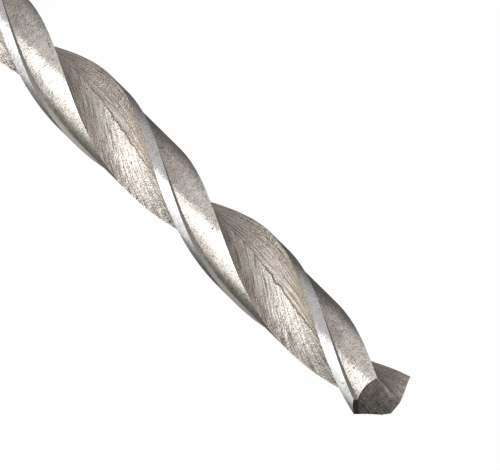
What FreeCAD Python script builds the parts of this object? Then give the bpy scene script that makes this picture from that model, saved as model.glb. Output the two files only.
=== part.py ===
import FreeCAD, Part
import Sketcher
import math
import os

# Two-flute twist drill, the centre drill of a core bit or hole saw.
# It stands on its shank end: the origin is the centre of that end and +Z runs to the point.
# The angles of a flute are measured from its leading edge, anticlockwise seen from the point,
# in a flat section across the axis. The second flute is the first one turned half way round.

SIZES = [
    # The blank
    ("overall_length", 120.0, "shank end to chisel edge"),
    ("drill_diameter", 8.0, "across the margins"),
    ("shank_diameter", 7.9, "plain shank"),
    ("collar_length", 3.0, "full-diameter stretch below the flutes"),
    ("shoulder_height", 0.5, "cone between the shank and the collar"),
    ("shank_chamfer", 0.6, "bevel round the shank end"),
    # The flutes
    ("flute_length", 82.0, "chisel edge to the end of the run-out"),
    ("runout_length", 14.0, "where the flutes rise to the surface"),
    ("flute_lead", 52.5, "advance in one right-hand turn"),
    ("flute_angle", 107.7, "leading edge to the next heel, at the point"),
    ("web_thickness", 2.0, "core between the two valleys, at the point"),
    ("valley_angle", 30.0, "leading edge to the valley, at the point"),
    ("web_taper", 0.7, "slope at which the flutes get shallower towards the shank"),
    ("face_radius", 4.7, "hollow wall under the leading edge"),
    ("heel_radius", 3.9, "hollow wall under the heel"),
    # The lands
    ("relief_depth", 0.4, "height of the margins above the relieved lands"),
    ("margin_angle", 21.4, "width of the full-diameter margin"),
    ("step_slope", 25.0, "lean of the step behind the margin"),
    ("relief_angle", 70.0, "width of the relief cut, which runs past the heel"),
    # The point
    ("point_angle", 118.0, "between the two lips, seen from the side"),
    ("chisel_angle", 128.0, "lip to chisel edge, seen from the end"),
    ("lip_lag", 23.5, "lip behind the leading edge, at the height of the chisel edge"),
    # The web-thinning gashes beside the chisel edge
    ("gash_core", 0.59, "middle of the chisel edge to the floor of a gash"),
    ("gash_heading", 59.0, "leading edge to the way the floor faces"),
    ("gash_lean", 24.0, "lean of the floor away from the axis"),
    ("gash_lip_side", 1.13, "reach of the floor towards the lip"),
    ("gash_heel_side", 0.68, "reach of the floor towards the heel"),
    ("gash_height", 0.8, "how far a gash's cut stands off its floor"),
    ("gash_length", 2.2, "run of a gash's cut down from the chisel edge"),
    # The cutting profiles
    ("cut_diameter", 12.0, "outer edge of each helical profile"),
    ("flank_cut_size", 24.0, "side of the square that trims a flank"),
    ("flank_cut_depth", 12.0, "how far a flank's cut clears the blank"),
]

# Expressions that more than one feature uses. A tapering sweep along the axis draws its
# profile in along one heading, and the leading edge is set to start on that heading.
FLUTE_START = "Sizes.overall_length - Sizes.flute_length"
COLLAR_BASE = FLUTE_START + " - Sizes.collar_length"
BODY_RADIUS = "(Sizes.drill_diameter / 2 - Sizes.relief_depth)"
WEB_GROWTH = "Sizes.flute_length * tan(Sizes.web_taper)"
CUT_HEIGHT = "Sizes.flute_length + Sizes.drill_diameter"
START_HEADING = "atan(-1 / 2) / 1 deg"
POINT_HEADING = START_HEADING + " + 360 * Sizes.flute_length / Sizes.flute_lead"
RELIEF_START = "Sizes.margin_angle + Sizes.relief_angle"

doc = FreeCAD.newDocument("center_drill")
sheet = doc.addObject("Spreadsheet::Sheet", "Sizes")
for row, (name, value, meaning) in enumerate(SIZES, start=1):
    sheet.set(f"A{row}", name)
    sheet.set(f"B{row}", str(value))
    sheet.set(f"C{row}", meaning)
    sheet.setAlias(f"B{row}", name)
doc.recompute()
value = {name: float(getattr(sheet, name)) for name, _, _ in SIZES}

body = doc.addObject("PartDesign::Body", "CenterDrill")
body.Label = "center_drill"


def origin_feature(role):
    """One of the body's own origin planes or axes."""
    return next(item for item in body.Origin.OriginFeatures if item.Role == role)


def new_sketch(name, role):
    """An empty sketch on one of the body's origin planes."""
    sketch = body.newObject("Sketcher::SketchObject", name)
    sketch.AttachmentSupport = [(origin_feature(role), "")]
    sketch.MapMode = "FlatFace"
    return sketch


def polar(radius, angle):
    """A point of a sketch from its distance to the axis and its angle in degrees."""
    turn = math.radians(angle)
    return FreeCAD.Vector(radius * math.cos(turn), radius * math.sin(turn), 0)


def line(sketch, start, end):
    """Draw a straight edge and return its number."""
    return sketch.addGeometry(Part.LineSegment(start, end))


def arc(sketch, centre, start, end):
    """Draw an arc that runs anticlockwise from start to end, and return its number."""
    circle = Part.Circle(centre, FreeCAD.Vector(0, 0, 1), start.distanceToPoint(centre))
    first = math.atan2(start.y - centre.y, start.x - centre.x)
    last = math.atan2(end.y - centre.y, end.x - centre.x)
    if last < first:
        last += 2 * math.pi
    return sketch.addGeometry(Part.ArcOfCircle(circle, first, last))


def hollow_centre(start, end, radius):
    """Centre of the arc of this radius from start anticlockwise to end."""
    chord = end.sub(start)
    rise = math.sqrt(radius ** 2 - (chord.Length / 2) ** 2)
    side = FreeCAD.Vector(-chord.y, chord.x, 0).normalize()
    return (start + end) * 0.5 + side * rise


def bind(sketch, constraint, expression):
    """Add a dimension and tie it to the sheet."""
    index = sketch.addConstraint(constraint)
    sketch.setExpression(f"Constraints[{index}]", expression)


def bind_point(sketch, edge, end, along, up):
    """Tie one end of an edge to two expressions, its X and its Y."""
    point = sketch.getPoint(edge, end)
    bind(sketch, Sketcher.Constraint("DistanceX", -1, 1, edge, end, point.x), along)
    bind(sketch, Sketcher.Constraint("DistanceY", -1, 1, edge, end, point.y), up)


def join(sketch, first, first_end, second, second_end):
    """Make two edge ends meet."""
    sketch.addConstraint(Sketcher.Constraint("Coincident", first, first_end, second, second_end))


def closed_outline(sketch, corners):
    """Draw a closed outline from (point, X expression, Y expression) corners."""
    edges = []
    for index, (point, _, _) in enumerate(corners):
        edges.append(line(sketch, point, corners[(index + 1) % len(corners)][0]))
    for index, edge in enumerate(edges):
        join(sketch, edge, 2, edges[(index + 1) % len(edges)], 1)
    for edge, (_, along, up) in zip(edges, corners):
        bind_point(sketch, edge, 1, along, up)


def centre_on_axis(sketch, edge, expression):
    """Put an arc's centre on the drill's axis and tie its radius to an expression."""
    sketch.addConstraint(Sketcher.Constraint("Coincident", edge, 3, -1, 1))
    radius = sketch.Geometry[edge].Radius
    bind(sketch, Sketcher.Constraint("Radius", edge, radius), expression)


def flute_start_sketch(name):
    """A sketch where the flutes begin, with its X along the leading edge's heading there."""
    sketch = new_sketch(name, "XY_Plane")
    sketch.setExpression("AttachmentOffset.Base.z", FLUTE_START)
    sketch.setExpression("AttachmentOffset.Rotation.Yaw", START_HEADING)
    return sketch


def point_sketch(name, turn):
    """A sketch at the chisel edge, turned from the leading edge's heading there."""
    sketch = new_sketch(name, "XY_Plane")
    sketch.setExpression("AttachmentOffset.Base.z", "Sizes.overall_length")
    sketch.setExpression(
        "AttachmentOffset.Rotation.Yaw", "mod(" + POINT_HEADING + turn + " + 180; 360) - 180")
    return sketch


def helical_cut(name, profile, climb):
    """Sweep a profile from where the flutes begin to past the point, and cut it out."""
    cut = body.newObject("PartDesign::SubtractiveHelix", name)
    cut.Profile = profile
    cut.ReferenceAxis = (profile, ["N_Axis"])
    cut.Mode = "pitch-height-angle"
    cut.setExpression("Pitch", "Sizes.flute_lead")
    cut.setExpression("Height", CUT_HEIGHT)
    cut.setExpression("Angle", climb)
    return cut


def half_turn_pattern(name, features):
    """Repeat features on the other side of the axis."""
    pattern = body.newObject("PartDesign::PolarPattern", name)
    pattern.Originals = features
    pattern.Axis = (origin_feature("Z_Axis"), [""])
    pattern.Angle = 360
    pattern.Occurrences = 2
    body.Tip = pattern
    return pattern


# The blank is turned: shank with a bevelled end, a small shoulder and the part to be fluted.
blank_sketch = new_sketch("BlankProfile", "XZ_Plane")
shank_radius = value["shank_diameter"] / 2
drill_radius = value["drill_diameter"] / 2
flute_start = value["overall_length"] - value["flute_length"]
collar_base = flute_start - value["collar_length"]
closed_outline(blank_sketch, [
    (FreeCAD.Vector(0, 0, 0), "0", "0"),
    (FreeCAD.Vector(shank_radius - value["shank_chamfer"], 0, 0),
     "Sizes.shank_diameter / 2 - Sizes.shank_chamfer", "0"),
    (FreeCAD.Vector(shank_radius, value["shank_chamfer"], 0),
     "Sizes.shank_diameter / 2", "Sizes.shank_chamfer"),
    (FreeCAD.Vector(shank_radius, collar_base - value["shoulder_height"], 0),
     "Sizes.shank_diameter / 2", COLLAR_BASE + " - Sizes.shoulder_height"),
    (FreeCAD.Vector(drill_radius, collar_base, 0), "Sizes.drill_diameter / 2", COLLAR_BASE),
    (FreeCAD.Vector(drill_radius, value["overall_length"], 0),
     "Sizes.drill_diameter / 2", "Sizes.overall_length"),
    (FreeCAD.Vector(0, value["overall_length"], 0), "0", "Sizes.overall_length"),
])
blank = body.newObject("PartDesign::Revolution", "Blank")
blank.Profile = blank_sketch
blank.ReferenceAxis = (blank_sketch, ["V_Axis"])
blank.Angle = 360
doc.recompute()

# The relief leaves a margin at full diameter behind each leading edge.
relief_sketch = flute_start_sketch("ReliefProfile")
body_radius = drill_radius - value["relief_depth"]
cut_radius = value["cut_diameter"] / 2
step_angle = -value["margin_angle"]
far_angle = step_angle - value["relief_angle"]
step_run = value["step_slope"] * (1 - body_radius / cut_radius)
axis_point = FreeCAD.Vector(0, 0, 0)
floor_arc = arc(relief_sketch, axis_point, polar(body_radius, far_angle),
                polar(body_radius, step_angle))
step = line(relief_sketch, polar(body_radius, step_angle),
            polar(cut_radius, step_angle + step_run))
rim_arc = arc(relief_sketch, axis_point, polar(cut_radius, far_angle),
              polar(cut_radius, step_angle + step_run))
far_side = line(relief_sketch, polar(body_radius, far_angle), polar(cut_radius, far_angle))
centre_on_axis(relief_sketch, floor_arc, BODY_RADIUS)
centre_on_axis(relief_sketch, rim_arc, "Sizes.cut_diameter / 2")
join(relief_sketch, floor_arc, 2, step, 1)
join(relief_sketch, step, 2, rim_arc, 2)
join(relief_sketch, floor_arc, 1, far_side, 1)
join(relief_sketch, far_side, 2, rim_arc, 1)
bind(relief_sketch,
     Sketcher.Constraint("DistanceY", -1, 1, floor_arc, 2,
                         relief_sketch.getPoint(floor_arc, 2).y),
     "0 - " + BODY_RADIUS + " * sin(Sizes.margin_angle)")
bind(relief_sketch,
     Sketcher.Constraint("DistanceX", -1, 1, floor_arc, 1,
                         relief_sketch.getPoint(floor_arc, 1).x),
     BODY_RADIUS + " * cos(" + RELIEF_START + ")")
bind(relief_sketch,
     Sketcher.Constraint("Angle", step, math.radians(step_angle + value["step_slope"])),
     "Sizes.step_slope - Sizes.margin_angle")
bind(relief_sketch,
     Sketcher.Constraint("Angle", far_side, math.radians(far_angle)),
     "0 - (" + RELIEF_START + ")")
doc.recompute()
relief = helical_cut("Relief", relief_sketch, "0")
doc.recompute()

# Each flute is one hollow: the face wall under the leading edge and the longer heel wall
# meet in a valley at the web. The profile is drawn as it is at the point, but set out
# sideways by the web's growth, so that the sweep brings it home at the chisel edge.
flute_sketch = flute_start_sketch("FluteProfile")
web_growth = value["flute_length"] * math.tan(math.radians(value["web_taper"]))
set_out = FreeCAD.Vector(web_growth, 0, 0)
lead_corner = polar(drill_radius, 0) + set_out
heel_corner = polar(body_radius, value["flute_angle"]) + set_out
valley = polar(value["web_thickness"] / 2, value["valley_angle"]) + set_out
face_end = polar(cut_radius, 0)
heel_end = polar(cut_radius, value["flute_angle"])
face_wall = arc(flute_sketch, hollow_centre(valley, lead_corner, value["face_radius"]),
                valley, lead_corner)
heel_wall = arc(flute_sketch, hollow_centre(heel_corner, valley, value["heel_radius"]),
                heel_corner, valley)
face_exit = line(flute_sketch, lead_corner, face_end)
heel_exit = line(flute_sketch, heel_corner, heel_end)
rim = arc(flute_sketch, axis_point, face_end, heel_end)
join(flute_sketch, heel_wall, 2, face_wall, 1)
flute_sketch.addConstraint(Sketcher.Constraint("Tangent", face_wall, 2, face_exit, 1))
flute_sketch.addConstraint(Sketcher.Constraint("Tangent", heel_wall, 1, heel_exit, 1))
join(flute_sketch, face_exit, 2, rim, 1)
join(flute_sketch, heel_exit, 2, rim, 2)
centre_on_axis(flute_sketch, rim, "Sizes.cut_diameter / 2")
bind_point(flute_sketch, face_wall, 1,
           WEB_GROWTH + " + Sizes.web_thickness / 2 * cos(Sizes.valley_angle)",
           "Sizes.web_thickness / 2 * sin(Sizes.valley_angle)")
bind_point(flute_sketch, face_wall, 2, WEB_GROWTH + " + Sizes.drill_diameter / 2", "0")
bind_point(flute_sketch, heel_wall, 1,
           WEB_GROWTH + " + " + BODY_RADIUS + " * cos(Sizes.flute_angle)",
           BODY_RADIUS + " * sin(Sizes.flute_angle)")
bind(flute_sketch, Sketcher.Constraint("Radius", face_wall, value["face_radius"]),
     "Sizes.face_radius")
bind(flute_sketch, Sketcher.Constraint("Radius", heel_wall, value["heel_radius"]),
     "Sizes.heel_radius")
doc.recompute()

flute = helical_cut("Flute", flute_sketch, "0 - Sizes.web_taper")
doc.recompute()
flutes = half_turn_pattern("BothFlutes", [relief, flute])
doc.recompute()

# Where the flutes begin, a conical core brings them up to the surface of the blank.
runout_sketch = new_sketch("RunoutProfile", "XZ_Plane")
runout_top = flute_start + value["runout_length"]
cone = [
    (FreeCAD.Vector(0, flute_start, 0), "0", FLUTE_START),
    (FreeCAD.Vector(drill_radius, flute_start, 0),
     "Sizes.drill_diameter / 2", FLUTE_START),
    (FreeCAD.Vector(value["web_thickness"] / 2, runout_top, 0),
     "Sizes.web_thickness / 2", FLUTE_START + " + Sizes.runout_length"),
    (FreeCAD.Vector(0, runout_top, 0), "0", FLUTE_START + " + Sizes.runout_length"),
]
closed_outline(runout_sketch, cone)
runout = body.newObject("PartDesign::Revolution", "FluteRunout")
runout.Profile = runout_sketch
runout.ReferenceAxis = (runout_sketch, ["V_Axis"])
runout.Angle = 360
doc.recompute()

# Each flank is ground flat. The two flanks meet in the chisel edge, which crosses the axis.
flank_sketch = point_sketch("FlankProfile", " - Sizes.lip_lag - (Sizes.chisel_angle - 90)")
flank_sketch.setExpression(
    "AttachmentOffset.Rotation.Pitch",
    "atan(1 / (tan(Sizes.point_angle / 2) * cos(Sizes.chisel_angle - 90)))")
reach = value["flank_cut_size"] / 2
half_side = "Sizes.flank_cut_size / 2"
closed_outline(flank_sketch, [
    (FreeCAD.Vector(-reach, -reach, 0), "0 - " + half_side, "0 - " + half_side),
    (FreeCAD.Vector(reach, -reach, 0), half_side, "0 - " + half_side),
    (FreeCAD.Vector(reach, reach, 0), half_side, half_side),
    (FreeCAD.Vector(-reach, reach, 0), "0 - " + half_side, half_side),
])
doc.recompute()

flank = body.newObject("PartDesign::Pocket", "Flank")
flank.Profile = flank_sketch
flank.Reversed = True
flank.setExpression("Length", "Sizes.flank_cut_depth")
doc.recompute()

# A gash thins the web at each end of the chisel edge. Its flat floor leans away from the axis
# and runs out into the flute a little below the point.
gash_sketch = point_sketch("GashProfile", " + Sizes.gash_heading")
gash_sketch.setExpression("AttachmentOffset.Rotation.Pitch", "0 - Sizes.gash_lean")
floor = value["gash_core"]
crown = floor + value["gash_height"]
crown_place = "Sizes.gash_core + Sizes.gash_height"
closed_outline(gash_sketch, [
    (FreeCAD.Vector(floor, -value["gash_lip_side"], 0), "Sizes.gash_core", "0 - Sizes.gash_lip_side"),
    (FreeCAD.Vector(crown, -value["gash_lip_side"], 0), crown_place, "0 - Sizes.gash_lip_side"),
    (FreeCAD.Vector(crown, value["gash_heel_side"], 0), crown_place, "Sizes.gash_heel_side"),
    (FreeCAD.Vector(floor, value["gash_heel_side"], 0), "Sizes.gash_core", "Sizes.gash_heel_side"),
])
doc.recompute()

gash = body.newObject("PartDesign::Pocket", "Gash")
gash.Profile = gash_sketch
gash.setExpression("Length", "Sizes.gash_length")
doc.recompute()
point = half_turn_pattern("Point", [flank, gash])
doc.recompute()

for item in doc.Objects:
    if {"Invalid", "Error"} & set(item.State):
        raise RuntimeError(f"{item.Name} did not build: {item.State}")
if body.Shape.isNull() or not body.Shape.isValid():
    raise RuntimeError(f"{body.Label} has no valid shape")
for first, second in ((blank, relief), (relief, flute), (flute, flutes),
                      (runout, flank), (flank, gash), (gash, point)):
    cut_volume = first.Shape.Volume - second.Shape.Volume
    if cut_volume <= 0:
        raise RuntimeError(f"{second.Label} removes nothing")
    print(f"{second.Label}: {cut_volume:.2f} mm3 cut")
print(f"{body.Label}: {body.Shape.Volume:.2f} mm3, {len(body.Shape.Solids)} solid,"
      f" {len(body.Shape.Faces)} faces, {body.Shape.optimalBoundingBox()}")

os.makedirs("parts", exist_ok=True)
body.Shape.exportStep(f"parts/{body.Label}.step")
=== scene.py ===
"""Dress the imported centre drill: a finely meshed fluted body, its steel finishes and the studio."""

import logging
import math
from dataclasses import dataclass
from enum import Enum
from typing import Any, Callable, Dict, Optional, Sequence, Tuple, Union

import bpy
from mathutils import Matrix, Vector


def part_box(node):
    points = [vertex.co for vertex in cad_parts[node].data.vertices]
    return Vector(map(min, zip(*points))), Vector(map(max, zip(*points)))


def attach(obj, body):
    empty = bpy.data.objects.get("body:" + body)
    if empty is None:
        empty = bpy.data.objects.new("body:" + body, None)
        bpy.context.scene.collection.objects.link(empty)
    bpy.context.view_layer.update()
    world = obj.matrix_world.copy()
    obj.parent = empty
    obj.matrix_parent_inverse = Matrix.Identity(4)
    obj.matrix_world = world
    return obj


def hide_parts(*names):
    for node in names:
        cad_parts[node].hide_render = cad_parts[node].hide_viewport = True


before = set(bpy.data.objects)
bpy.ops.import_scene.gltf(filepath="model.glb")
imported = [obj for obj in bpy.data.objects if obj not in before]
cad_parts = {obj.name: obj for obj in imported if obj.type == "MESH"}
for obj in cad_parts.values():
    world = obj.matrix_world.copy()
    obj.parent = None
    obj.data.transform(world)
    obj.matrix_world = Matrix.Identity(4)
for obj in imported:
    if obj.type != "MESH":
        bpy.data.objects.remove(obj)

LOG = logging.getLogger("centre_drill")
MM = 0.001
HALF_TURN = math.pi
FULL_TURN = 2 * math.pi
LEAD = 52.5 * MM
BODY = "root"
DRILL_NODE = "center_drill"
ZONE_ATTRIBUTE = "zone"
FLAT_ATTRIBUTE = "flat"
Colour = Tuple[float, float, float]


class Zone(Enum):
    """The stretches of the drill's surface that are finished in different ways."""

    LAND = 0
    STEP = 1
    MARGIN = 2
    FACE_WALL = 3
    HEEL_WALL = 4
    SHANK = 5
    FLANK = 6
    GASH = 7


# Patterns on the steel. Lengths are in millimetres, counts are per millimetre, and the rest are shares.
MOTTLE_PER_MM = 1.5
GRAIN_PER_MM = 7.0
# The drift wanders the border of a zone's painted shade, and the share after it is where that shade
# begins across the zone.
DRIFT_PER_MM = 0.35
DRIFT = 0.5
PAINTED_SHADE_START = 0.3
PITS_PER_MM = 1.1
PIT_REACH = 0.15
PIT_DEPTH = 0.75
PIT_LEAST = 0.3
ROUGH_SWING = 0.025
BROAD_SHARE = 1.0
SCRATCH_SHARE = 0.7
GRAIN_SHARE = 0.6
RIDGE_SHARE = 1.5
# Width of the painted highlights and shade along edges, then the width and depth of the valley's
# painted shade and the wave along the flute that sets where it and the burr show.
RIM_WIDTH = 0.07
SEAM_WIDTH = 0.1
SEAM_SHADE = 0.72
SEAM_PEAK = 24.5
SEAM_WAVE = (-0.4, 0.7)
SEAM_WEAK = 0.12
WANDER_RUN = 1.1
WANDER = 0.32

# Noise is shifted and stretched to run from about -1 to 1, and each pattern has its own lane of it.
NOISE_MIDDLE = 0.5
NOISE_GAIN = 3.0
HALF_LANE = 5.0
SCRATCH_LANE = 9.0

# Distance from the axis that turns an angle round the shank into a length, in millimetres.
SHANK_REACH = 3.95

# Heights on the drill where the darker rake face and the bright lip lie, and the lip's rise and reach.
RAKE_START = 110.0
RAKE_END = 114.0
LIP_START = 117.7
LIP_RISE = 0.62
LIP_REACH = 1.6

# Girth of each zone of one half of the section, measured at the point.
ZONE_WIDTHS = {
    Zone.LAND: 3.2 * MM, Zone.STEP: 0.43 * MM, Zone.MARGIN: 1.31 * MM,
    Zone.FACE_WALL: 3.24 * MM, Zone.HEEL_WALL: 3.66 * MM,
}


def operation(name: str, swapped: bool = False) -> Callable[["Term", "Number"], "Term"]:
    """A method that adds a Math node.

    Args:
        name: The node's operation.
        swapped: Whether the other value comes first.

    Returns:
        The method, for one of Python's operators.
    """
    def method(self: "Term", other: "Number") -> "Term":
        """Join this value and another."""
        return self.graph.math(name, *((other, self) if swapped else (self, other)))

    return method


class Term:
    """A node socket that takes Python's operators and adds Math nodes for them."""

    __add__, __radd__ = operation("ADD"), operation("ADD", swapped=True)
    __sub__, __rsub__ = operation("SUBTRACT"), operation("SUBTRACT", swapped=True)
    __mul__, __rmul__ = operation("MULTIPLY"), operation("MULTIPLY", swapped=True)
    __gt__, __lt__ = operation("GREATER_THAN"), operation("LESS_THAN")
    __truediv__ = operation("DIVIDE")
    __mod__ = operation("FLOORED_MODULO")

    def __init__(self, graph: "Graph", socket: bpy.types.NodeSocket) -> None:
        """Keep the graph that the socket belongs to."""
        self.graph = graph
        self.socket = socket

    def __neg__(self) -> "Term":
        """The value with its sign changed."""
        return self.graph.math("MULTIPLY", self, -1.0)


Number = Union[float, int, Term]
Point2 = Tuple[Number, Number]


@dataclass(frozen=True)
class ToolMarks:
    """Direction and spacing of a zone's tool marks, in radians and millimetres."""

    heading: float
    pitch: float = 0.45
    scratch: float = 0.1
    run: float = 4.0

    def turned(self, graph: "Graph", across: Term, along: Term) -> Tuple[Term, Term]:
        """Place over the marks and along them, from a zone's width and height."""
        cosine, sine = math.cos(self.heading), math.sin(self.heading)
        return across * cosine + along * sine, along * cosine - across * sine


class Graph:
    """A node tree of shader or geometry nodes, with short calls that add to it."""

    def __init__(self, tree: bpy.types.NodeTree) -> None:
        """Wrap a tree and empty it."""
        self.tree = tree
        tree.nodes.clear()

    def add(self, kind: str, settings: Optional[Dict[str, Any]] = None,
            inputs: Optional[Dict[Any, Any]] = None) -> bpy.types.Node:
        """Add a node.

        Args:
            kind: The node's type name.
            settings: Its own settings, set first.
            inputs: Values or links by socket name or number.

        Returns:
            The new node.
        """
        node = self.tree.nodes.new(kind)
        for name, value in (settings or {}).items():
            setattr(node, name, value)
        for key, value in (inputs or {}).items():
            self.feed(node.inputs[key], value)
        return node

    def feed(self, socket: bpy.types.NodeSocket, value: Any) -> None:
        """Link or set one input socket.

        Args:
            socket: The input.
            value: A Term, a socket, or a plain value.
        """
        if isinstance(value, Term):
            self.tree.links.new(value.socket, socket)
        elif isinstance(value, bpy.types.NodeSocket):
            self.tree.links.new(value, socket)
        else:
            socket.default_value = value

    def term(self, kind: str, settings: Optional[Dict[str, Any]] = None,
             inputs: Optional[Dict[Any, Any]] = None, out: Union[int, str] = 0) -> Term:
        """Add a node and wrap one of its outputs.

        Args:
            kind: The node's type name.
            settings: Its own settings.
            inputs: Values or links by socket name or number.
            out: The output's name or number.

        Returns:
            The output as a Term.
        """
        return Term(self, self.add(kind, settings, inputs).outputs[out])

    def math(self, operation: str, *values: Number) -> Term:
        """Add a Math node for an operation on one to three values."""
        return self.term("ShaderNodeMath", {"operation": operation}, dict(enumerate(values)))

    def store(self, geometry: Term, name: str, value: Number, kind: str = "FLOAT",
              domain: str = "FACE") -> Term:
        """Keep a value on the mesh under a name."""
        return self.term("GeometryNodeStoreNamedAttribute",
                         {"data_type": kind, "domain": domain},
                         {"Geometry": geometry, "Name": name, "Value": value})

    def clamp(self, value: Number) -> Term:
        """Hold a value between 0 and 1."""
        return self.term("ShaderNodeClamp", None, {"Value": value})

    def vector(self, x: Number, y: Number, z: Number = 0.0) -> Term:
        """Join three numbers."""
        return self.term("ShaderNodeCombineXYZ", None, {0: x, 1: y, 2: z})

    def split(self, vector: Term) -> Tuple[Term, Term, Term]:
        """The three numbers of a vector."""
        node = self.add("ShaderNodeSeparateXYZ", None, {0: vector})
        return tuple(Term(self, output) for output in node.outputs)

    def vector_math(self, operation: str, *values: Any, out: int = 0) -> Term:
        """Add a Vector Math node."""
        return self.term("ShaderNodeVectorMath", {"operation": operation},
                         dict(enumerate(values)), out)

    def scaled(self, vector: Term, factor: Number) -> Term:
        """A vector times a number."""
        return self.term("ShaderNodeVectorMath", {"operation": "SCALE"},
                         {"Vector": vector, "Scale": factor})

    def mix(self, factor: Number, low: Any, high: Any, kind: str = "FLOAT") -> Term:
        """Mix two numbers, vectors or colours.

        Args:
            factor: 0 gives low and 1 gives high.
            low: The first value.
            high: The second value.
            kind: FLOAT, or VECTOR, which colours use too.

        Returns:
            The mixed value.
        """
        first, result = {"FLOAT": (2, 0), "VECTOR": (4, 1)}[kind]
        return self.term("ShaderNodeMix", {"data_type": kind},
                         {0: factor, first: low, first + 1: high}, result)

    def remap(self, value: Number, low: float, high: float, start: float = 0.0,
              end: float = 1.0, ease: str = "LINEAR") -> Term:
        """Map a range onto another, clamped."""
        return self.term("ShaderNodeMapRange", {"interpolation_type": ease},
                         {0: value, 1: low, 2: high, 3: start, 4: end})

    def noise(self, vector: Term, scale: float, detail: float = 2.0,
              rough: float = 0.5) -> Term:
        """Noise at a vector, from about -1 to 1 with 0 in the middle."""
        plain = self.term("ShaderNodeTexNoise", {"noise_dimensions": "3D"},
                          {"Vector": vector, "Scale": scale, "Detail": detail,
                           "Roughness": rough})
        return (plain - NOISE_MIDDLE) * NOISE_GAIN

    def bell(self, value: Number, width: float) -> Term:
        """1 where a value is 0, falling to nothing over a width on both sides."""
        share = value / width
        return self.math("EXPONENT", -(share * share))

    def length(self, x: Number, y: Number) -> Term:
        """Distance of a flat point from the origin."""
        return self.math("SQRT", x * x + y * y)

    def polar(self, radius: Number, angle: Number) -> Point2:
        """Flat point at a distance and an angle."""
        return radius * self.math("COSINE", angle), radius * self.math("SINE", angle)


TOOL_MARKS = {
    Zone.LAND: ToolMarks(math.radians(84.0), pitch=0.5, scratch=0.2, run=1.2),
    Zone.STEP: ToolMarks(0.0, run=6.0),
    Zone.MARGIN: ToolMarks(math.radians(90.0), pitch=0.5, scratch=0.2, run=1.5),
    Zone.FACE_WALL: ToolMarks(math.radians(4.0), pitch=0.45, scratch=0.14, run=5.0),
    Zone.HEEL_WALL: ToolMarks(math.radians(-25.0), pitch=0.42, scratch=0.12, run=3.2),
    Zone.SHANK: ToolMarks(math.radians(90.0), pitch=0.5, scratch=0.07, run=8.0),
    Zone.FLANK: ToolMarks(math.radians(20.0), pitch=0.5, scratch=0.16, run=3.0),
    Zone.GASH: ToolMarks(math.radians(70.0), pitch=0.3, scratch=0.15, run=2.0),
}


@dataclass
class DrillForm:
    """Sizes of the drill, in metres and radians, as the solids have them."""

    length: float
    drill_radius: float
    shank_radius: float = 3.95 * MM
    chamfer: float = 0.6 * MM
    flute_length: float = 82.0 * MM
    collar: float = 3.0 * MM
    shoulder: float = 0.5 * MM
    runout: float = 14.0 * MM
    lead: float = LEAD
    web_thickness: float = 2.0 * MM
    web_taper: float = math.radians(0.7)
    relief_depth: float = 0.4 * MM
    flute_angle: float = math.radians(107.7)
    valley_angle: float = math.radians(30.0)
    face_radius: float = 4.7 * MM
    heel_radius: float = 3.9 * MM
    margin_front: float = math.radians(18.75)
    margin_foot: float = math.radians(21.4)
    start_heading: float = math.atan(-0.5)
    point_angle: float = math.radians(118.0)
    chisel_angle: float = math.radians(128.0)
    lip_lag: float = math.radians(23.5)
    gash_core: float = 0.59 * MM
    gash_heading: float = math.radians(59.0)
    gash_lean: float = math.radians(24.0)
    gash_lip_side: float = 1.13 * MM
    gash_heel_side: float = 0.68 * MM
    gash_height: float = 0.8 * MM
    gash_length: float = 2.2 * MM

    @property
    def point_heading(self) -> float:
        """Azimuth of the leading edge at the height of the chisel edge."""
        return self.start_heading + FULL_TURN * self.flute_length / self.lead

    @property
    def flank_heading(self) -> float:
        """Azimuth in which the first flank falls away."""
        return self.point_heading - self.lip_lag - (self.chisel_angle - HALF_TURN / 2)

    def width(self, zone: Zone) -> float:
        """Width of a zone across the section at the point."""
        return ZONE_WIDTHS[zone]

    def start(self, zone: Zone) -> float:
        """Distance from the land's heel to where a zone begins."""
        return sum(width for other, width in ZONE_WIDTHS.items() if other.value < zone.value)

    @property
    def flank_pitch(self) -> float:
        """Slope of a flank against a flat section."""
        return math.atan(1 / (math.tan(self.point_angle / 2)
                              * math.cos(self.chisel_angle - HALF_TURN / 2)))


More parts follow.
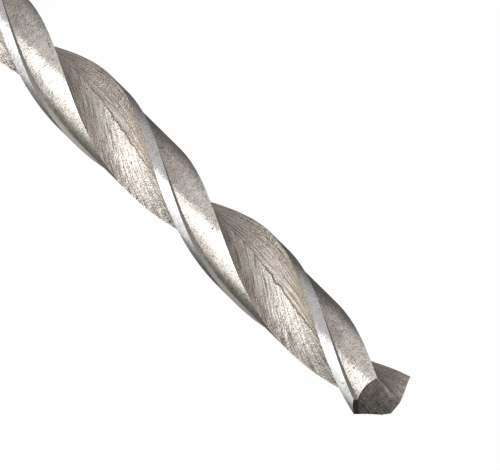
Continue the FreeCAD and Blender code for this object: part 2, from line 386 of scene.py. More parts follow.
@dataclass
class FlutedBody:
    """The whole drill as one swept surface whose sections follow the flutes' rule."""

    form: DrillForm
    land_columns: int = 22
    step_columns: int = 2
    margin_columns: int = 10
    face_columns: int = 26
    heel_columns: int = 36
    shank_rows: int = 10
    collar_rows: int = 2
    fluted_rows: int = 420
    overshoot: float = 2.0 * MM
    seam: float = 0.002 * MM
    crease: float = math.radians(24.0)
    block: float = 14.0 * MM
    mark_depth: float = 0.018 * MM
    quiet_edge: float = 0.1
    seed: int = 7

    def __post_init__(self) -> None:
        """Start with no sockets, which build() fills."""
        self.sockets: Dict[str, Term] = {}

    def columns(self) -> int:
        """Columns of one half of the section."""
        return sum(count for _, count in self.zone_columns().values())

    def inputs(self) -> Dict[str, float]:
        """The named sizes of the tree."""
        form = self.form
        return {
            "Length": form.length, "Drill Radius": form.drill_radius,
            "Shank Radius": form.shank_radius, "Chamfer": form.chamfer,
            "Flute Length": form.flute_length, "Run-out": form.runout, "Lead": form.lead,
            "Web Thickness": form.web_thickness, "Web Slope": math.tan(form.web_taper),
            "Relief Depth": form.relief_depth, "Flute Angle": form.flute_angle,
            "Valley Angle": form.valley_angle, "Face Radius": form.face_radius,
            "Heel Radius": form.heel_radius, "Mark Depth": self.mark_depth,
            "Seed": float(self.seed),
        }

    def build(self, finishes: Dict[Zone, bpy.types.Material]) -> bpy.types.Object:
        """Make the drill's mesh and give it to the frame.

        Args:
            finishes: The material of each zone.

        Returns:
            The finished object.
        """
        tree = bpy.data.node_groups.new("fluted_body", "GeometryNodeTree")
        graph = Graph(tree)
        tree.interface.new_socket("Mesh", in_out="OUTPUT", socket_type="NodeSocketGeometry")
        identifiers = {}
        for name, value in self.inputs().items():
            socket = tree.interface.new_socket(name, in_out="INPUT",
                                               socket_type="NodeSocketFloat")
            socket.default_value = value
            identifiers[name] = socket.identifier
        source = graph.add("NodeGroupInput")
        self.sockets = {name: Term(graph, source.outputs[name]) for name in self.inputs()}
        swept = self.sweep(graph)
        pointed = self.grind_point(graph, swept)
        self.finish(graph, pointed, finishes)
        return self.bake(tree, identifiers)

    def bake(self, tree: bpy.types.NodeTree, identifiers: Dict[str, str]) -> bpy.types.Object:
        """Evaluate the tree once and keep its result as a plain mesh.

        Args:
            tree: The finished tree.
            identifiers: Its inputs' identifiers by name.

        Returns:
            The object, which rides on the frame's body.
        """
        drill = placed("drill_body", bpy.data.meshes.new("drill_body"))
        modifier = drill.modifiers.new("Fluted body", "NODES")
        modifier.node_group = tree
        for name, value in self.inputs().items():
            modifier[identifiers[name]] = value
        ready = drill.evaluated_get(bpy.context.evaluated_depsgraph_get())
        mesh = bpy.data.meshes.new_from_object(ready)
        drill.modifiers.remove(modifier)
        drill.data = mesh
        mesh.name = "drill_body"
        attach(drill, BODY)
        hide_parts(DRILL_NODE)
        triangles = sum(len(face.vertices) - 2 for face in mesh.polygons)
        LOG.info("%s: %d triangles, %d materials", drill.name, triangles, len(mesh.materials))
        return drill

    def span(self, graph: Graph, row: Term, start: int, count: int) -> Term:
        """Share of a stretch of rows that lies below a row, from 0 to 1."""
        return graph.clamp((row - float(start)) / float(count))

    def heights(self, graph: Graph, row: Term) -> Tuple[Term, Term]:
        """Height and blank radius of a row.

        Args:
            graph: The tree.
            row: The row's number.

        Returns:
            Height above the shank end, and the radius of the blank there.
        """
        size, form = self.sockets, self.form
        flute_start = size["Length"] - size["Flute Length"]
        shoulder_start = flute_start - form.collar - form.shoulder
        share = [self.span(graph, row, *stretch) for stretch in self.row_stretches()]
        end_face, bevel, shank, shoulder, collar, fluted = share[:6]
        height = (bevel * size["Chamfer"] + shank * (shoulder_start - size["Chamfer"])
                  + shoulder * form.shoulder + collar * form.collar
                  + fluted * (size["Flute Length"] + self.overshoot))
        radius = (end_face * (size["Shank Radius"] - size["Chamfer"])
                  + bevel * size["Chamfer"]
                  + shoulder * (size["Drill Radius"] - size["Shank Radius"]))
        return height, radius

    def row_stretches(self) -> Sequence[Tuple[int, int]]:
        """First row and row count of the end face, bevel, shank, shoulder, collar, flutes, lid."""
        counts = (1, 1, self.shank_rows, 1, self.collar_rows, self.fluted_rows, 1)
        starts = [sum(counts[:index]) for index in range(len(counts))]
        return list(zip(starts, counts))

    def rows(self) -> int:
        """Rows of the whole sweep."""
        start, count = self.row_stretches()[-1]
        return start + count

    @staticmethod
    def hollow_centre(graph: Graph, start: Point2, end: Point2, radius: Number) -> Point2:
        """Centre of the hollow arc of this radius from start anticlockwise to end."""
        run = end[0] - start[0], end[1] - start[1]
        chord = graph.length(*run)
        rise = graph.math("SQRT", radius * radius - chord * chord / 4.0) / chord
        return ((start[0] + end[0]) / 2.0 - run[1] * rise,
                (start[1] + end[1]) / 2.0 + run[0] * rise)

    @staticmethod
    def crossing(graph: Graph, centre: Point2, radius: Number, rim: Number,
                 side: float) -> Point2:
        """Where a wall's circle crosses the rim of the blank.

        Args:
            graph: The tree.
            centre: Centre of the wall's circle.
            radius: Radius of the wall's circle.
            rim: Radius of the blank about the axis.
            side: 1 for the crossing anticlockwise of the centre's heading, -1 for the other.

        Returns:
            The crossing.
        """
        away = graph.length(*centre)
        reach = (rim * rim - radius * radius + away * away) / (away * 2.0)
        swing = graph.math("SQRT", rim * rim - reach * reach) * side
        heading = centre[0] / away, centre[1] / away
        return (heading[0] * reach - heading[1] * swing,
                heading[1] * reach + heading[0] * swing)

    def marks(self, graph: Graph, zone: Zone, share: Term, height: Term, half: Term) -> Term:
        """Depth of the milling marks on a wall.

        Args:
            graph: The tree.
            zone: The wall.
            share: Place across the wall, from 0 to 1.
            height: Height of the section.
            half: 0 or 1, for the two flutes.

        Returns:
            How far the wall stands back, which is nothing at the leading edge and the heel.
        """
        style = TOOL_MARKS[zone]
        across = (share * self.form.width(zone)) / MM
        over, along = style.turned(graph, across, height / MM)
        place = graph.vector(over / style.pitch, along / style.run,
                             half * HALF_LANE + self.sockets["Seed"])
        waves = graph.noise(place, 1.0, 1.0)
        edge = share if zone is Zone.FACE_WALL else 1.0 - share
        return waves * self.sockets["Mark Depth"] * graph.remap(edge, 0.0, self.quiet_edge)

    def section(self, graph: Graph, column: Term, height: Term, blank_radius: Term,
                half: Term) -> Tuple[Number, Number]:
        """A point of the section, in a frame whose X points at the leading edge.

        Args:
            graph: The tree.
            column: Column number within one half.
            height: Height of the section.
            blank_radius: Radius of the blank at that height.
            half: 0 or 1, for the two halves of the section.

        Returns:
            The point's two places across the axis.
        """
        size, form = self.sockets, self.form
        rim = size["Drill Radius"]
        body_rim = rim - size["Relief Depth"]
        lead_corner = (rim, 0.0)
        heel_corner = graph.polar(body_rim, size["Flute Angle"])
        valley = graph.polar(size["Web Thickness"] / 2.0, size["Valley Angle"])
        face_centre = self.hollow_centre(graph, valley, lead_corner, size["Face Radius"])
        heel_centre = self.hollow_centre(graph, heel_corner, valley, size["Heel Radius"])
        valley_on_face = self.angle_from(graph, face_centre, valley)
        valley_on_heel = self.angle_from(graph, heel_centre, valley)
        growth = (size["Length"] - height) * size["Web Slope"]
        face_centre = (face_centre[0] + growth, face_centre[1])
        heel_centre = (heel_centre[0] + growth, heel_centre[1])
        lead = self.crossing(graph, face_centre, size["Face Radius"], rim, -1.0)
        heel = self.crossing(graph, heel_centre, size["Heel Radius"], body_rim, 1.0)
        lead_azimuth = graph.math("ARCTAN2", lead[1], lead[0])
        heel_azimuth = graph.math("ARCTAN2", heel[1], heel[0])
        lead_on_face = self.angle_from(graph, face_centre, lead)
        heel_on_heel = self.angle_from(graph, heel_centre, heel)

        starts = self.zone_columns()
        across = {zone: self.span(graph, column, *starts[zone]) for zone in starts}
        wall_start = starts[Zone.FACE_WALL][0]
        on_wall = column > float(wall_start)
        around_wall = self.span(graph, column, wall_start, self.columns() - wall_start)

        land_start = heel_azimuth - HALF_TURN
        azimuth = (land_start + across[Zone.LAND] * (-form.margin_foot - land_start)
                   + across[Zone.STEP] * (form.margin_foot - form.margin_front)
                   + across[Zone.MARGIN] * (lead_azimuth + form.margin_front))
        round_azimuth = azimuth + around_wall * (heel_azimuth - lead_azimuth)
        outer = graph.polar(body_rim + across[Zone.STEP] * size["Relief Depth"], azimuth)
        face_turn = lead_on_face + across[Zone.FACE_WALL] * (valley_on_face - lead_on_face)
        heel_turn = valley_on_heel + across[Zone.HEEL_WALL] * (heel_on_heel - valley_on_heel)
        face_marks = self.marks(graph, Zone.FACE_WALL, across[Zone.FACE_WALL], height, half)
        heel_marks = self.marks(graph, Zone.HEEL_WALL, across[Zone.HEEL_WALL], height, half)
        face_arc = graph.polar(size["Face Radius"] + face_marks, face_turn)
        heel_arc = graph.polar(size["Heel Radius"] + heel_marks, heel_turn)
        on_heel = column > float(starts[Zone.HEEL_WALL][0])
        plain = graph.polar(blank_radius, round_azimuth)
        fluted = []
        for axis in (0, 1):
            face = face_centre[axis] + face_arc[axis]
            heel_point = heel_centre[axis] + heel_arc[axis]
            wall = graph.mix(on_heel, face, heel_point)
            fluted.append(graph.mix(on_wall, outer[axis], wall))

        # In the run-out a cone of the blank's steel stands in the flutes.
        climb = height - (size["Length"] - size["Flute Length"])
        cone = graph.mix(graph.clamp(climb / size["Run-out"]), rim, size["Web Thickness"] / 2.0)
        reach = graph.length(*fluted)
        share = graph.clamp((rim - cone) / graph.math("MAXIMUM", rim - reach, self.seam))
        mixed_x, mixed_y = (graph.mix(share, plain[axis], fluted[axis]) for axis in (0, 1))
        target = graph.math("MINIMUM", graph.math("MAXIMUM", reach, cone), blank_radius)
        stretch = target / graph.length(mixed_x, mixed_y)
        return mixed_x * stretch, mixed_y * stretch

    @staticmethod
    def angle_from(graph: Graph, centre: Point2, point: Point2) -> Term:
        """Angle of a point about a centre, from 0 to a full turn."""
        angle = graph.math("ARCTAN2", point[1] - centre[1], point[0] - centre[0])
        return angle % FULL_TURN

    def zone_columns(self) -> Dict[Zone, Tuple[int, int]]:
        """First column and column count of each zone, anticlockwise from the land's heel."""
        counts = (self.land_columns, self.step_columns, self.margin_columns,
                  self.face_columns, self.heel_columns)
        return {zone: (sum(counts[:index]), counts[index])
                for index, zone in enumerate(ZONE_WIDTHS)}

    def girth(self, graph: Graph, column: Term) -> Number:
        """Distance of a column from the land's heel, along the section at the point."""
        return sum((self.span(graph, column, *place) * self.form.width(zone)
                    for zone, place in self.zone_columns().items()), 0.0)

    def sweep(self, graph: Graph) -> Term:
        """The surface from the shank end to a flat lid past the point.

        Args:
            graph: The tree.

        Returns:
            The closed mesh.
        """
        size, form = self.sockets, self.form
        columns, rows = 2 * self.columns(), self.rows()
        grid = graph.add("GeometryNodeMeshGrid", None,
                         {"Size X": float(columns), "Size Y": float(rows),
                          "Vertices X": columns + 1, "Vertices Y": rows + 1})
        place = graph.term("GeometryNodeInputPosition")
        flat_x, flat_y, _ = graph.split(place)
        whole_column, row = flat_x + columns / 2, flat_y + rows / 2
        column = whole_column % float(self.columns())
        _, first_border, *borders = (start for start, _ in self.zone_columns().values())
        zone = sum((column > float(border) for border in borders),
                   column > float(first_border))
        first_fluted = float(self.row_stretches()[5][0])
        zone = graph.mix(row > first_fluted, float(Zone.SHANK.value), zone)
        marked = graph.store(grid.outputs["Mesh"], ZONE_ATTRIBUTE, zone)
        own_half = graph.term("GeometryNodeFieldOnDomain",
                              {"data_type": "FLOAT", "domain": "FACE"},
                              {0: graph.math("FLOOR", whole_column / float(self.columns()))})
        own_column = whole_column - own_half * float(self.columns())

        # The snapped numbers keep the seam's two columns on the same spot.
        row = graph.math("ROUND", row)
        column = graph.math("ROUND", whole_column) % float(self.columns())
        half = graph.math("FLOOR", graph.math("ROUND", whole_column) / float(self.columns()))
        height, blank_radius = self.heights(graph, row)
        flat = graph.vector(self.girth(graph, own_column) / MM, height / MM, own_half)
        marked = graph.store(marked, FLAT_ATTRIBUTE, flat, "FLOAT_VECTOR", "CORNER")
        across, along = self.section(graph, column, height, blank_radius, half)
        climb = graph.math("MAXIMUM", height - (size["Length"] - size["Flute Length"]), 0.0)
        turn = climb / size["Lead"] * FULL_TURN + form.start_heading + half * HALF_TURN
        cosine, sine = graph.math("COSINE", turn), graph.math("SINE", turn)
        lid_start, lid_count = self.row_stretches()[-1]
        open_share = 1.0 - self.span(graph, row, lid_start, lid_count)
        position = graph.vector((across * cosine - along * sine) * open_share,
                                (across * sine + along * cosine) * open_share, height)
        swept = graph.term("GeometryNodeSetPosition", None,
                           {"Geometry": marked, "Position": position})
        return graph.term("GeometryNodeMergeByDistance", None,
                          {"Geometry": swept, "Distance": self.seam})

    @staticmethod
    def cutter(graph: Graph, zone: Zone, size: Tuple[float, float, float],
               place: Tuple[float, float, float]) -> Term:
        """A block that cuts the point.

        Args:
            graph: The tree.
            zone: The zone that it leaves.
            size: Its three sides.
            place: Its middle, from the middle of the chisel edge.

        Returns:
            The block.
        """
        block = graph.term("GeometryNodeMeshCube", None, {"Size": size})
        marked = graph.store(block, ZONE_ATTRIBUTE, float(zone.value))
        return graph.term("GeometryNodeTransform", None,
                          {"Geometry": marked, "Translation": place})

    def grind_point(self, graph: Graph, swept: Term) -> Term:
        """Cut the two flanks, which meet in the chisel edge, and the two gashes beside it.

        Args:
            graph: The tree.
            swept: The drill before its point is ground.

        Returns:
            The pointed drill.
        """
        size, form = self.sockets, self.form
        raised = self.cutter(graph, Zone.FLANK, (self.block, self.block, self.block),
                             (0.0, 0.0, self.block / 2))
        wheel = (form.gash_height, form.gash_lip_side + form.gash_heel_side, form.gash_length)
        notch = self.cutter(graph, Zone.GASH, wheel,
                            (form.gash_core + form.gash_height / 2,
                             (form.gash_heel_side - form.gash_lip_side) / 2,
                             -form.gash_length / 2))
        boolean = graph.add("GeometryNodeMeshBoolean",
                            {"operation": "DIFFERENCE", "solver": "EXACT"},
                            {"Mesh 1": swept})
        gash_heading = form.point_heading + form.gash_heading
        for shape, pitch, heading in ((raised, form.flank_pitch, form.flank_heading),
                                      (notch, -form.gash_lean, gash_heading)):
            for half in (0.0, HALF_TURN):
                tilted = graph.term("GeometryNodeTransform", None,
                                    {"Geometry": shape,
                                     "Translation": graph.vector(0.0, 0.0, size["Length"]),
                                     "Rotation": (0.0, pitch, heading + half)})
                graph.tree.links.new(tilted.socket, boolean.inputs["Mesh 2"])
        return Term(graph, boolean.outputs["Mesh"])

    def finish(self, graph: Graph, mesh: Term,
               finishes: Dict[Zone, bpy.types.Material]) -> None:
        """Shade the faces smooth between creases and set each zone's material.

        Args:
            graph: The tree.
            mesh: The pointed drill.
            finishes: The material of each zone.
        """
        smooth = graph.term("GeometryNodeSetShadeSmooth", {"domain": "FACE"},
                            {"Geometry": mesh, "Shade Smooth": True})
        angle = graph.term("GeometryNodeInputMeshEdgeAngle", out="Unsigned Angle")
        creased = graph.term("GeometryNodeSetShadeSmooth", {"domain": "EDGE"},
                             {"Geometry": smooth, "Selection": angle > self.crease,
                              "Shade Smooth": False})
        solid = graph.term("GeometryNodeRealizeInstances", None, {"Geometry": creased})
        zone = graph.term("GeometryNodeInputNamedAttribute", {"data_type": "FLOAT"},
                          {"Name": ZONE_ATTRIBUTE})
        for kind, material in finishes.items():
            picked = graph.math("COMPARE", zone, float(kind.value), 0.5)
            solid = graph.term("GeometryNodeSetMaterial", None,
                               {"Geometry": solid, "Selection": picked,
                                "Material": material})
        graph.add("NodeGroupOutput", None, {"Mesh": solid})


@dataclass(frozen=True)
class Steel:
    """Bright steel whose tool marks run one way over a zone."""

    name: str
    base: Colour
    marks: ToolMarks
    roughness: float = 0.3
    broad: float = 0.06
    fine: float = 0.06
    mottle: float = 0.06
    grain: float = 0.05
    relief: float = 0.006 * MM
    metallic: float = 1.0
    seed: float = 0.0

    def material(self) -> bpy.types.Material:
        """Build the material."""
        material = bpy.data.materials.new(self.name)
        material.use_nodes = True
        graph = Graph(material.node_tree)
        solid = graph.scaled(graph.term("ShaderNodeTexCoord", out="Object"), 1 / MM)
        across, along, half = self.flat_place(graph, solid)
        over, down = self.marks.turned(graph, across, along)
        lane = half * HALF_LANE + self.seed
        broad = graph.noise(graph.vector(over / self.marks.pitch, down / self.marks.run, lane),
                            1.0, 2.0)
        scratch = graph.noise(graph.vector(over / self.marks.scratch,
                                           down / self.marks.run, lane + SCRATCH_LANE), 1.0, 3.0, 0.6)
        mottle = graph.noise(solid, MOTTLE_PER_MM, 3.0, 0.55)
        grain = graph.noise(solid, GRAIN_PER_MM, 2.0, 0.6)
        tone = (broad * self.broad + scratch * self.fine + mottle * self.mottle
                + grain * self.grain + 1.0)
        colour = graph.scaled(self.tint(graph, across, along, solid), tone)
        rough = mottle * ROUGH_SWING + scratch * ROUGH_SWING + self.roughness
        height = (broad * BROAD_SHARE + scratch * SCRATCH_SHARE + grain * GRAIN_SHARE + mottle
                  + self.ridges(graph, across, along))
        bump = graph.term("ShaderNodeBump", None,
                          {"Strength": 1.0, "Distance": self.relief, "Height": height})
        shader = graph.add("ShaderNodeBsdfPrincipled", None,
                           {"Base Color": colour, "Metallic": self.metallic, "Roughness": rough,
                            "Normal": bump})
        graph.add("ShaderNodeOutputMaterial", None, {"Surface": shader.outputs[0]})
        return material

    def flat_place(self, graph: Graph, solid: Term) -> Tuple[Term, Term, Number]:
        """Place on the steel in two directions, and the half of the drill that it is on."""
        first, second, _ = graph.split(solid)
        return first, second, 0.0

    def tint(self, graph: Graph, across: Term, along: Term, solid: Term) -> Any:
        """Base colour before the tool marks change it."""
        return self.base

    def ridges(self, graph: Graph, across: Term, along: Term) -> Number:
        """Height that single ridges add to the tool marks."""
        return 0.0


@dataclass(frozen=True)
class ShankSteel(Steel):
    """Turned and ground steel, with rings round the axis."""

    def flat_place(self, graph: Graph, solid: Term) -> Tuple[Term, Term, Number]:
        """Distance round the axis and height."""
        x, y, z = graph.split(solid)
        return graph.math("ARCTAN2", y, x) * SHANK_REACH, z, 0.0


@dataclass(frozen=True)
class FlankSteel(Steel):
    """Ground steel of the two flanks, with painted shade behind the lip and painted light towards the
    heel.
    """

    heading: float = 0.0
    # Colour of the painted light towards the heel, and the span across which the painted gradient runs.
    painted_light_base: Colour = (0.8, 0.71, 0.67)
    grade: Tuple[float, float] = (2.6, -1.6)
    # Radius and strength of the painted dark outline at the flank's rim.
    rim_radius: float = 3.5
    rim_shade: float = 0.6

    def flat_place(self, graph: Graph, solid: Term) -> Tuple[Term, Term, Number]:
        """Distance along the chisel edge and away from it, the same on both flanks."""
        x, y, _ = graph.split(solid)
        cosine, sine = math.cos(self.heading), math.sin(self.heading)
        away = x * cosine + y * sine
        side = (away > 0.0) * 2.0 - 1.0
        return (y * cosine - x * sine) * side, away * side, 0.0

    def tint(self, graph: Graph, across: Term, along: Term, solid: Term) -> Any:
        """The base, painted lighter towards the heel, with a painted dark outline of shade on its outer
        edge.
        """
        # Painted light and shade across the flank, then a painted dark outline at its rim.
        share = graph.remap(across, *self.grade)
        colour = graph.mix(share, self.base, self.painted_light_base, "VECTOR")
        radius = graph.length(across, along)
        rim = graph.remap(radius, self.rim_radius - RIM_WIDTH, self.rim_radius + RIM_WIDTH)
        return graph.scaled(colour, 1.0 - rim * self.rim_shade)


@dataclass(frozen=True)
class ZoneSteel(Steel):
    """Steel of a zone that winds along the drill, laid out by its own flat place."""

    start: float = 0.0
    width: float = 3.0 * MM
    # Painted light along the zone's first and last edges: a highlight above 0, shade below 0.
    first_rim: float = 0.0
    last_rim: float = 0.0
    seam: float = 0.0
    # Colour of the painted shade towards the zone's last edge.
    last_base: Optional[Colour] = None
    pits: float = 0.0
    rake_shade: float = 0.0
    lip_base: Colour = (0.72, 0.64, 0.56)

    def flat_place(self, graph: Graph, solid: Term) -> Tuple[Term, Term, Number]:
        """Distance from the zone's first edge, height and half."""
        flat = graph.term("ShaderNodeAttribute", {"attribute_name": FLAT_ATTRIBUTE},
                          out="Vector")
        girth, height, half = graph.split(flat)
        return girth - self.start / MM, height, half

    def seam_distance(self, graph: Graph, across: Term, along: Term) -> Term:
        """Distance from the wandering line where the two walls of a flute meet."""
        wander = graph.noise(graph.vector(along / WANDER_RUN, 0.0, 0.0), 1.0, 3.0) * WANDER
        edge = self.width / MM if self.seam > 0 else 0.0
        return across - edge + wander

    def seam_line(self, graph: Graph, across: Term, along: Term) -> Term:
        """1 on the line where the two walls meet, which comes and goes along the flute twice a turn,
        strongest where the light leaves the valley dark; it sets the valley's burr and its painted
        shade.
        """
        wave = graph.math("COSINE", (along - SEAM_PEAK) * (2 * FULL_TURN * MM / LEAD))
        strength = graph.remap(wave, *SEAM_WAVE, SEAM_WEAK, 1.0)
        return graph.bell(self.seam_distance(graph, across, along), SEAM_WIDTH) * strength

    def ridges(self, graph: Graph, across: Term, along: Term) -> Number:
        """The burr that the two cutters leave along the valley of a flute."""
        return self.seam_line(graph, across, along) * RIDGE_SHARE if self.seam else 0.0

    def tint(self, graph: Graph, across: Term, along: Term, solid: Term) -> Any:
        """The base, with painted highlights and shade along its edges, painted shade towards its last
        edge and along the valley, a darker rake face, a lighter lip, and pits.
        """
        width = self.width / MM
        colour = self.base
        # Painted shade: the colour darkens towards the last edge, past a wandering border.
        if self.last_base is not None:
            drift = graph.noise(solid, DRIFT_PER_MM, 1.0) * DRIFT
            share = graph.remap(across + drift, width * PAINTED_SHADE_START, width, ease="SMOOTHSTEP")
            colour = graph.mix(share, colour, self.last_base, "VECTOR")
        # Painted highlights and painted shade in a thin band along the first and last edges.
        for place, rim in ((across, self.first_rim), (across - width, self.last_rim)):
            if rim:
                colour = graph.scaled(colour, graph.bell(place, RIM_WIDTH) * rim + 1.0)
        # Painted shade along the valley line.
        if self.seam:
            line = self.seam_line(graph, across, along)
            colour = graph.scaled(colour, 1.0 - line * SEAM_SHADE)
        if self.rake_shade:
            near = graph.remap(along, RAKE_START, RAKE_END)
            colour = graph.scaled(colour, 1.0 - near * self.rake_shade)
            below = across * LIP_RISE - along + LIP_START
            colour = graph.mix(graph.remap(below, LIP_REACH, 0.0), colour, self.lip_base,
                               "VECTOR")
        if self.pits:
            cells = graph.add("ShaderNodeTexVoronoi", {"feature": "F1"},
                              {"Vector": solid, "Scale": PITS_PER_MM, "Randomness": 1.0})
            chance, size, _ = graph.split(Term(graph, cells.outputs["Color"]))
            near = graph.remap(Term(graph, cells.outputs["Distance"]) / (size + PIT_LEAST),
                               PIT_REACH, PIT_REACH * 0.5)
            pit = near * (chance < self.pits) * PIT_DEPTH
            colour = graph.scaled(colour, 1.0 - pit)
        return colour


def level(azimuth: float) -> Vector:
    """The level direction at an azimuth."""
    return Vector((math.cos(azimuth), math.sin(azimuth), 0.0))


def placed(name: str, data: Any) -> bpy.types.Object:
    """A new object in the scene that shows a mesh, a camera or a lamp."""
    thing = bpy.data.objects.new(name, data)
    bpy.context.scene.collection.objects.link(thing)
    return thing


@dataclass
class Camera:
    """The photograph's view: its aim, its roll and its distance, measured on the drill."""

    form: DrillForm
    image_width: int = 500
    image_height: int = 470
    pixels_per_metre: float = 38.18 / (4.0 * MM)
    distance: float = 0.8249
    view_azimuth: float = math.radians(100.931)
    view_rise: float = math.radians(22.918)
    roll: float = math.radians(44.57)
    chisel_x: float = 395.3
    chisel_y: float = 408.3
    sensor: float = 36.0
    clip: Tuple[float, float] = (0.01, 10.0)

    def place(self) -> None:
        """Add the camera and make it the scene's."""
        side = level(self.view_azimuth - HALF_TURN / 2)
        facing = level(self.view_azimuth)
        upward = Vector((0.0, 0.0, 1.0))
        back = facing * math.cos(self.view_rise) + upward * math.sin(self.view_rise)
        tipward = upward * math.cos(self.view_rise) - facing * math.sin(self.view_rise)
        right = tipward * math.cos(self.roll) + side * math.sin(self.roll)
        up = side * math.cos(self.roll) - tipward * math.sin(self.roll)
        chisel = Vector((0.0, 0.0, self.form.length))
        offset_x = (self.chisel_x - self.image_width / 2) / self.pixels_per_metre
        offset_y = (self.image_height / 2 - self.chisel_y) / self.pixels_per_metre
        aim = chisel - right * offset_x - up * offset_y
        data = bpy.data.cameras.new("photo_view")
        data.sensor_width = self.sensor
        data.lens = self.distance * self.pixels_per_metre / self.image_width * self.sensor
        data.clip_start, data.clip_end = self.clip
        camera = placed("photo_view", data)
        turned = Matrix((right, up, back)).transposed().to_4x4()
        camera.matrix_world = Matrix.Translation(aim + back * self.distance) @ turned
        bpy.context.scene.camera = camera


@dataclass(frozen=True)
class Softbox:
    """An oblong area lamp that faces the drill, placed by its direction from the axis."""

    name: str
    azimuth: float
    distance: float
    height: float
    size: Tuple[float, float]
    radiance: float

    def place(self, highest_aim: float) -> None:
        """Add the lamp.

        Args:
            highest_aim: Height on the axis that a lamp above it aims at.
        """
        data = bpy.data.lights.new(self.name, "AREA")
        data.shape = "RECTANGLE"
        data.size, data.size_y = self.size
        data.energy = self.radiance * math.pi * data.size * data.size_y
        lamp = placed(self.name, data)
        lamp.location = level(self.azimuth) * self.distance + Vector((0.0, 0.0, self.height))
        aim = Vector((0.0, 0.0, min(self.height, highest_aim)))
        lamp.rotation_euler = (lamp.location - aim).to_track_quat("Z", "Y").to_euler()
        lamp.visible_camera = False


SOFTBOXES = (
    Softbox("low_softbox", math.radians(123.0), distance=0.11, height=0.042,
            size=(0.095, 0.084), radiance=1.9),
    Softbox("side_softbox", math.radians(166.0), distance=0.11, height=0.042,
            size=(0.08, 0.084), radiance=0.6),
    Softbox("high_softbox", math.radians(130.0), distance=0.5, height=0.5,
            size=(0.4, 0.4), radiance=0.6),
)


@dataclass
class Studio:
    """Pale floor, white surroundings and soft lamps."""

    camera: Camera
    floor_size: float = 3.0
    paint: Colour = (0.85, 0.85, 0.85)
    surround: Colour = (0.36, 0.36, 0.36)
    shown_white: float = 0.985
    shown_beside: float = 0.75
    shadow_reach: float = 0.14
    cream: Colour = (1.0, 0.99, 0.95)
    mauve: Colour = (1.0, 0.96, 0.955)
    near_white: float = 0.72
    far_white: float = 0.13
    grade_reach: float = 0.18
    horizon_white: float = 0.42
    ceiling_white: float = 0.08
    ceiling_weight: float = 0.75
    aim_share: float = 0.7

    def build(self) -> None:
        """Add the floor, the world and the lamps."""
        self.floor()
        self.world()
        for softbox in SOFTBOXES:
            softbox.place(self.camera.form.length * self.aim_share)
        LOG.info("studio ready")

    def floor(self) -> None:
        """A pale floor under the shank end."""
        mesh = bpy.data.meshes.new("floor")
        reach = self.floor_size / 2
        corners = [(-reach, -reach, 0), (reach, -reach, 0), (reach, reach, 0), (-reach, reach, 0)]
        mesh.from_pydata(corners, [], [(0, 1, 2, 3)])
        floor = placed("floor", mesh)
        material = bpy.data.materials.new("pale_floor")
        material.use_nodes = True
        graph = Graph(material.node_tree)
        place = graph.term("ShaderNodeTexCoord", out="Object")
        forward = graph.vector_math("DOT_PRODUCT", place, self.forward(), out=1)
        grade = graph.remap(forward, -self.grade_reach, self.grade_reach,
                            self.far_white, self.near_white, "SMOOTHSTEP")
        paint = graph.term("ShaderNodeBsdfDiffuse", None, {"Color": (*self.paint, 1.0)})
        shown, glossy = self.rays(graph)
        away = graph.vector_math("LENGTH", place, out=1)
        cover = graph.remap(away, 0.0, self.shadow_reach, self.shown_beside,
                            self.shown_white, "SMOOTHSTEP")
        tinted = graph.scaled(self.tint(graph, place, self.grade_reach), grade)
        colour = graph.mix(glossy, (1.0, 1.0, 1.0), tinted, "VECTOR")
        white = graph.term("ShaderNodeEmission", None, {"Color": colour})
        mixed = graph.term("ShaderNodeMixShader", None,
                           {0: shown * cover + glossy, 1: paint, 2: white})
        graph.add("ShaderNodeOutputMaterial", None, {"Surface": mixed})
        mesh.materials.append(material)

    def forward(self) -> Vector:
        """The level direction from the drill towards the camera."""
        return level(self.camera.view_azimuth)

    def tint(self, graph: Graph, place: Term, reach: float) -> Term:
        """The hue that metal reflects, from cream on the lamps' side to mauve on the other."""
        side = level(self.camera.view_azimuth - HALF_TURN / 2)
        share = graph.remap(graph.vector_math("DOT_PRODUCT", place, side, out=1),
                            -reach, reach)
        return graph.mix(share, self.cream, self.mauve, "VECTOR")

    def rays(self, graph: Graph) -> Tuple[Term, Term]:
        """1 for the rays of the picture and of glass, and 1 for the rays of metal."""
        light = graph.add("ShaderNodeLightPath")
        camera, through, glossy = (Term(graph, light.outputs[name]) for name in
                                   ("Is Camera Ray", "Is Transmission Ray", "Is Glossy Ray"))
        return graph.clamp(camera + through), glossy

    def world(self) -> None:
        """White surroundings for what the eye sees, and graded ones for the metal."""
        world = bpy.data.worlds.new("studio")
        bpy.context.scene.world = world
        world.use_nodes = True
        graph = Graph(world.node_tree)
        shown, glossy = self.rays(graph)
        way = graph.term("ShaderNodeTexCoord", out="Generated")
        pull = self.forward() - Vector((0.0, 0.0, self.ceiling_weight))
        toward = graph.vector_math("DOT_PRODUCT", way, pull, out=1)
        grade = graph.remap(toward, -1.0, 1.0, self.ceiling_white, self.horizon_white)
        tinted = graph.scaled(self.tint(graph, way, 1.0), grade)
        metal = graph.mix(glossy, self.surround, tinted, "VECTOR")
        colour = graph.mix(shown, metal, (1.0, 1.0, 1.0), "VECTOR")
        sky = graph.term("ShaderNodeBackground", None, {"Color": colour, "Strength": 1.0})
        graph.add("ShaderNodeOutputWorld", None, {"Surface": sky})


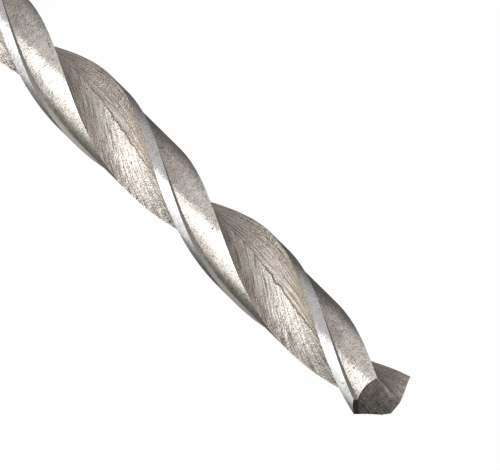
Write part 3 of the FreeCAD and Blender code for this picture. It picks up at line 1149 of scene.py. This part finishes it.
def steels(form: DrillForm) -> Dict[Zone, Steel]:
    """The finish of each zone.

    Args:
        form: Sizes of the drill.

    Returns:
        A steel for every zone.
    """
    def winding(zone: Zone, name: str, base: Colour, **looks: Any) -> ZoneSteel:
        """The steel of a zone that winds along the drill."""
        return ZoneSteel(name, base, TOOL_MARKS[zone], start=form.start(zone),
                         width=form.width(zone), seed=float(zone.value), **looks)

    return {
        Zone.LAND: winding(Zone.LAND, "land_steel", (0.77, 0.735, 0.69), roughness=0.25,
                           last_base=(0.47, 0.44, 0.41), first_rim=0.25, mottle=0.24,
                           grain=0.85, fine=0.16, pits=0.3, relief=0.011 * MM),
        # The step's darker base is painted shade for the dark line along the relief step.
        Zone.STEP: winding(Zone.STEP, "step_steel", (0.52, 0.495, 0.46), roughness=0.6,
                           metallic=0.5),
        Zone.MARGIN: winding(Zone.MARGIN, "margin_steel", (0.68, 0.68, 0.68), roughness=0.26,
                             last_rim=-0.2, mottle=0.18, grain=0.45, pits=0.2,
                             relief=0.008 * MM),
        Zone.FACE_WALL: winding(Zone.FACE_WALL, "face_steel", (0.69, 0.63, 0.57),
                                broad=0.3, fine=0.75, grain=0.4, seam=1.0, pits=0.6,
                                first_rim=-0.55, rake_shade=0.22, relief=0.045 * MM),
        Zone.HEEL_WALL: winding(Zone.HEEL_WALL, "heel_steel", (0.85, 0.8, 0.73),
                                last_base=(0.76, 0.7, 0.65), roughness=0.26, broad=0.3,
                                fine=1.0, grain=0.45, seam=-1.0, last_rim=0.3, pits=0.6,
                                relief=0.04 * MM),
        Zone.SHANK: ShankSteel("shank_steel", (0.62, 0.59, 0.55), TOOL_MARKS[Zone.SHANK],
                               roughness=0.28, fine=0.12),
        Zone.FLANK: FlankSteel("flank_steel", (0.29, 0.28, 0.25), TOOL_MARKS[Zone.FLANK],
                               roughness=0.36, broad=0.3, fine=0.6, mottle=0.5, seed=6.0,
                               relief=0.03 * MM, heading=form.flank_heading),
        Zone.GASH: Steel("gash_steel", (0.7, 0.62, 0.6), TOOL_MARKS[Zone.GASH],
                         roughness=0.4, fine=0.3, mottle=0.2, seed=7.0),
    }


def main() -> None:
    """Build the drill, its finishes and the studio."""
    logging.basicConfig(level=logging.INFO, format="%(message)s")
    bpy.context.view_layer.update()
    low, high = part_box(DRILL_NODE)
    form = DrillForm(length=high.z - low.z, drill_radius=(high.x - low.x) / 2)
    finishes = {zone: steel.material() for zone, steel in steels(form).items()}
    FlutedBody(form).build(finishes)
    camera = Camera(form)
    camera.place()
    Studio(camera).build()
    bpy.context.scene.view_settings.view_transform = "Standard"


if __name__ == "__main__":
    main()
